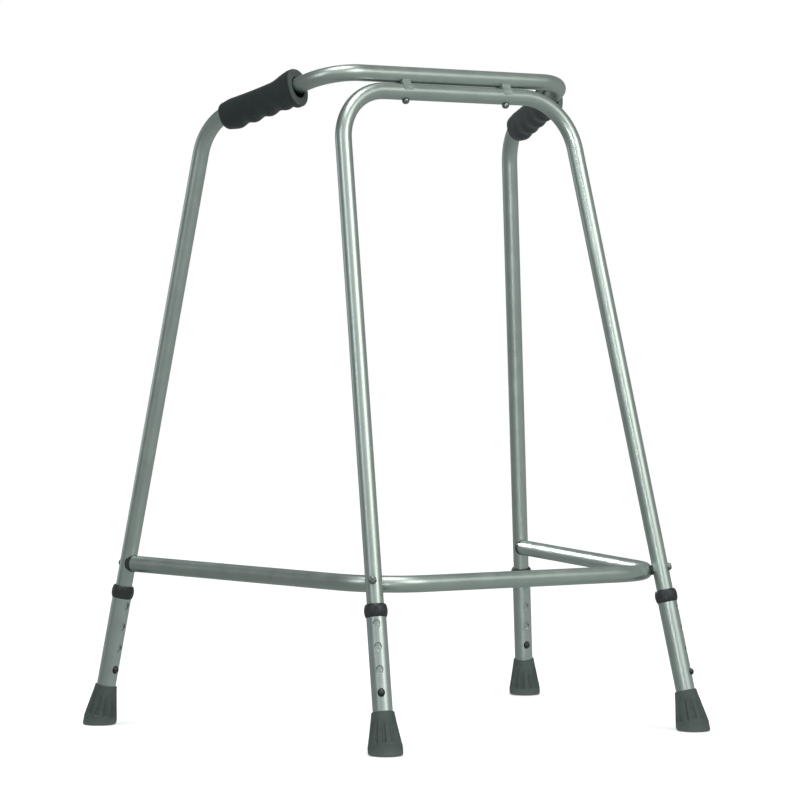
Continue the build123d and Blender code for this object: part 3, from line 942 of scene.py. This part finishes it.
def make_room():
    """The studio's own light: dim, greenish, brighter to the right and low down."""
    world = bpy.data.worlds.new("studio")
    world.use_nodes = True
    tree = world.node_tree
    bright_side = (0.82, -0.57, 0.0)
    way = tree.nodes.new("ShaderNodeTexCoord").outputs["Generated"]
    across = tree.nodes.new("ShaderNodeVectorMath")
    across.operation = "DOT_PRODUCT"
    across.inputs[1].default_value = bright_side
    height = tree.nodes.new("ShaderNodeSeparateXYZ")
    tree.links.new(way, across.inputs[0])
    tree.links.new(way, height.inputs[0])
    shares = []
    for source, low, high, out_low, out_high in (
        (across.outputs["Value"], -1.0, 1.0, 0.24, 0.42),
        (height.outputs["Z"], -0.3, 0.6, 1.12, 0.80),
    ):
        share = tree.nodes.new("ShaderNodeMapRange")
        tree.links.new(source, share.inputs["Value"])
        set_range(share, low, high, out_low, out_high)
        shares.append(share.outputs[0])
    strength = tree.nodes.new("ShaderNodeMath")
    strength.operation = "MULTIPLY"
    tree.links.new(shares[0], strength.inputs[0])
    tree.links.new(shares[1], strength.inputs[1])
    tree.links.new(strength.outputs[0], tree.nodes["Background"].inputs["Strength"])
    tree.nodes["Background"].inputs["Color"].default_value = (0.87, 0.96, 0.92, 1)
    bpy.context.scene.world = world


def make_light():
    """Soft studio light: an overhead glow, soft boxes all round, and gridded ones on the far side."""
    middle = (0, 0, 0.45)
    area_light("key_light", (0.7, -3.6, 2.4), middle, (2.3, 1.6), 46, (0.97, 1.0, 0.93))
    area_light("front_light", (-2.2, -3.2, 2.9), middle, (3.2, 1.8), 11, (0.96, 1.0, 0.98))
    area_light("strip_light", (-3.6, -0.9, 2.4), middle, (0.7, 1.8), 20, (0.88, 0.96, 1.0))
    area_light("back_light", (-1.5, 2.6, 0.9), (0.2, 0.1, 0.45), (1.6, 1.0), 4, (0.94, 0.98, 1.0))
    far_leg, far_bar = (0.30, 0.15, 0.40), (0.26, 0.02, 0.18)
    area_light("far_strip", (-0.66, -1.05, 0.42), far_leg, (0.26, 0.9), 0.21, (0.94, 1.0, 0.98), 14)
    area_light("far_back", (0.12, 1.7, 0.80), far_bar, (0.25, 0.25), 0.10, (0.94, 0.98, 1.0), 18)
    glow = bpy.data.lights.new("overhead_glow", "SUN")
    glow.energy = 1.5
    glow.angle = radians(30)
    overhead = bpy.data.objects.new("overhead_glow", glow)
    bpy.context.scene.collection.objects.link(overhead)
    overhead.rotation_euler = (radians(8), radians(-6), 0)


def make_camera():
    """The camera, out past the user's right front corner and about halfway up the frame."""
    data = bpy.data.cameras.new("camera")
    data.lens = 161.1
    data.sensor_width = 36
    data.shift_x = -0.0252
    data.shift_y = 0.0138
    camera = bpy.data.objects.new("camera", data)
    bpy.context.scene.collection.objects.link(camera)
    heading, pitch = radians(35.0), radians(-1.11)
    aim = Vector((sin(heading) * cos(pitch), cos(heading) * cos(pitch), sin(pitch)))
    camera.location = (-2.4146, -3.4332, 0.450)
    camera.rotation_euler = aim.to_track_quat("-Z", "Y").to_euler()
    bpy.context.scene.camera = camera


make_camera()
make_room()
make_light()
make_stage()
bpy.context.scene.view_settings.view_transform = "Standard"

for subpart in frame["record"]["subparts"]:
    paint(frame["nodes"][subpart["node"]], subpart["material_slot"])

make_tubes()
for leg in legs.values():
    make_extension(leg)
    make_collar(leg)
    make_ferrule(leg)
    make_leaf_spring(leg)
for side, sign in SIDES.items():
    make_grip(side, sign)
